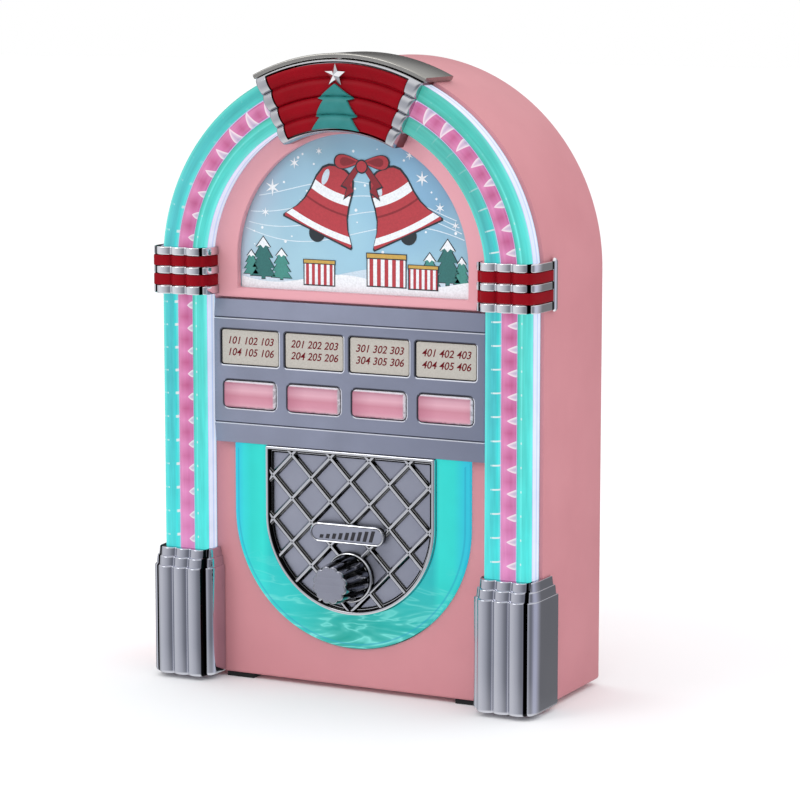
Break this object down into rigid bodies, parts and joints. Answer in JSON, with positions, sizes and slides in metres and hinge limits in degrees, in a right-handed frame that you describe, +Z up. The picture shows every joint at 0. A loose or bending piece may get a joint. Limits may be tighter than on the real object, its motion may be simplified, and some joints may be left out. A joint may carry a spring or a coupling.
{
  "type": "table-top jukebox",
  "caption": "Small table-top jukebox: arched cabinet with a lit ribbed arch, picture window, selector buttons, latticed grille, volume knob, and a rear battery bay and speaker.",
  "frame": {"origin": "on the floor plane under the middle of the feet, halfway across the width and halfway between the knob's face and the cabinet's back edge", "axes": "+Z up, -Y out of the front where the buttons are, +X to the right of someone facing the front"},
  "size_m": [0.154, 0.068, 0.2296],
  "materials": {
    "painted_cabinet": "satin pink paint on moulded plastic",
    "plated_chrome": "bright chrome plate on moulded plastic",
    "grey_chrome": "smoked chrome plate on moulded plastic",
    "satin_plate": "satin blue-grey metallic plate on moulded plastic",
    "clear_plastic": "clear moulded plastic",
    "teal_plastic": "translucent teal plastic lit from behind",
    "pink_plastic": "translucent pink plastic lit from behind",
    "button_plastic": "glossy translucent pink plastic",
    "red_enamel": "deep red lacquer",
    "teal_enamel": "teal lacquer",
    "card": "printed cream card",
    "printed_film": "printed film behind the window",
    "circuit_board": "green solder mask",
    "steel": "bare steel",
    "black_plastic": "moulded black plastic",
    "speaker_paper": "pressed black paper",
    "cell_wrap": "plain printed wrap",
    "foot_rubber": "moulded black rubber"
  },
  "bodies": {
    "cabinet": {"arch_light_strip": "circuit_board", "arch_rib_inner": "teal_plastic", "arch_rib_middle": "pink_plastic", "arch_rib_outer": "teal_plastic", "base_left": "plated_chrome", "base_right": "plated_chrome", "battery_cell_1": "cell_wrap", "battery_cell_2": "cell_wrap", "battery_cell_3": "cell_wrap", "battery_contacts_left": "steel", "battery_contacts_right": "steel", "battery_tray": "black_plastic", "button_board": "circuit_board", "cabinet_shell": "painted_cabinet", "cover_screw_1": "steel", "cover_screw_2": "steel", "cover_screw_3": "steel", "cover_screw_4": "steel", "crown_frame": "plated_chrome", "crown_inlay": "red_enamel", "crown_plate": "grey_chrome", "crown_star": "plated_chrome", "crown_tree": "teal_enamel", "cuff_band_left_lower": "red_enamel", "cuff_band_left_upper": "red_enamel", "cuff_band_right_lower": "red_enamel", "cuff_band_right_upper": "red_enamel", "cuff_left": "plated_chrome", "cuff_right": "plated_chrome", "foot_front_left": "foot_rubber", "foot_front_right": "foot_rubber", "foot_rear_left": "foot_rubber", "foot_rear_right": "foot_rubber", "front_panel": "painted_cabinet", "grille_lattice": "plated_chrome", "grille_plate": "satin_plate", "label_card_1": "card", "label_card_2": "card", "label_card_3": "card", "label_card_4": "card", "light_band": "teal_plastic", "light_band_board": "circuit_board", "light_channel": "clear_plastic", "main_board": "circuit_board", "picture_panel": "printed_film", "potentiometer": "steel", "power_switch_body": "black_plastic", "rear_cover": "painted_cabinet", "selector_panel": "satin_plate", "speaker_basket": "black_plastic", "speaker_cone": "speaker_paper", "volume_badge": "satin_plate"},
    "volume_knob": {"volume_knob": "plated_chrome", "knob_shaft": "steel"},
    "button_1": {"button_1": "button_plastic"},
    "button_2": {"button_2": "button_plastic"},
    "button_3": {"button_3": "button_plastic"},
    "button_4": {"button_4": "button_plastic"},
    "battery_door": {"battery_door": "painted_cabinet"},
    "power_switch_slider": {"power_switch_slider": "black_plastic"}
  },
  "joints": [
    {"name": "volume_turn", "type": "hinge", "parent": "cabinet", "child": "volume_knob", "pos_m": [0, -0.0268, 0.0421], "axis": [0, 1, 0], "range_deg": [-150, 150]},
    {"name": "button_1_press", "type": "slide", "parent": "cabinet", "child": "button_1", "axis": [0, 1, 0], "range_m": [0, 0.0015], "stiffness_N_per_m": 400},
    {"name": "button_2_press", "type": "slide", "parent": "cabinet", "child": "button_2", "axis": [0, 1, 0], "range_m": [0, 0.0015], "stiffness_N_per_m": 400},
    {"name": "button_3_press", "type": "slide", "parent": "cabinet", "child": "button_3", "axis": [0, 1, 0], "range_m": [0, 0.0015], "stiffness_N_per_m": 400},
    {"name": "button_4_press", "type": "slide", "parent": "cabinet", "child": "button_4", "axis": [0, 1, 0], "range_m": [0, 0.0015], "stiffness_N_per_m": 400},
    {"name": "battery_door_off", "type": "slide", "parent": "cabinet", "child": "battery_door", "axis": [0, 1, 0], "range_m": [0, 0.03]},
    {"name": "power_slide", "type": "slide", "parent": "cabinet", "child": "power_switch_slider", "axis": [1, 0, 0], "range_m": [0, 0.004]}
  ]
}
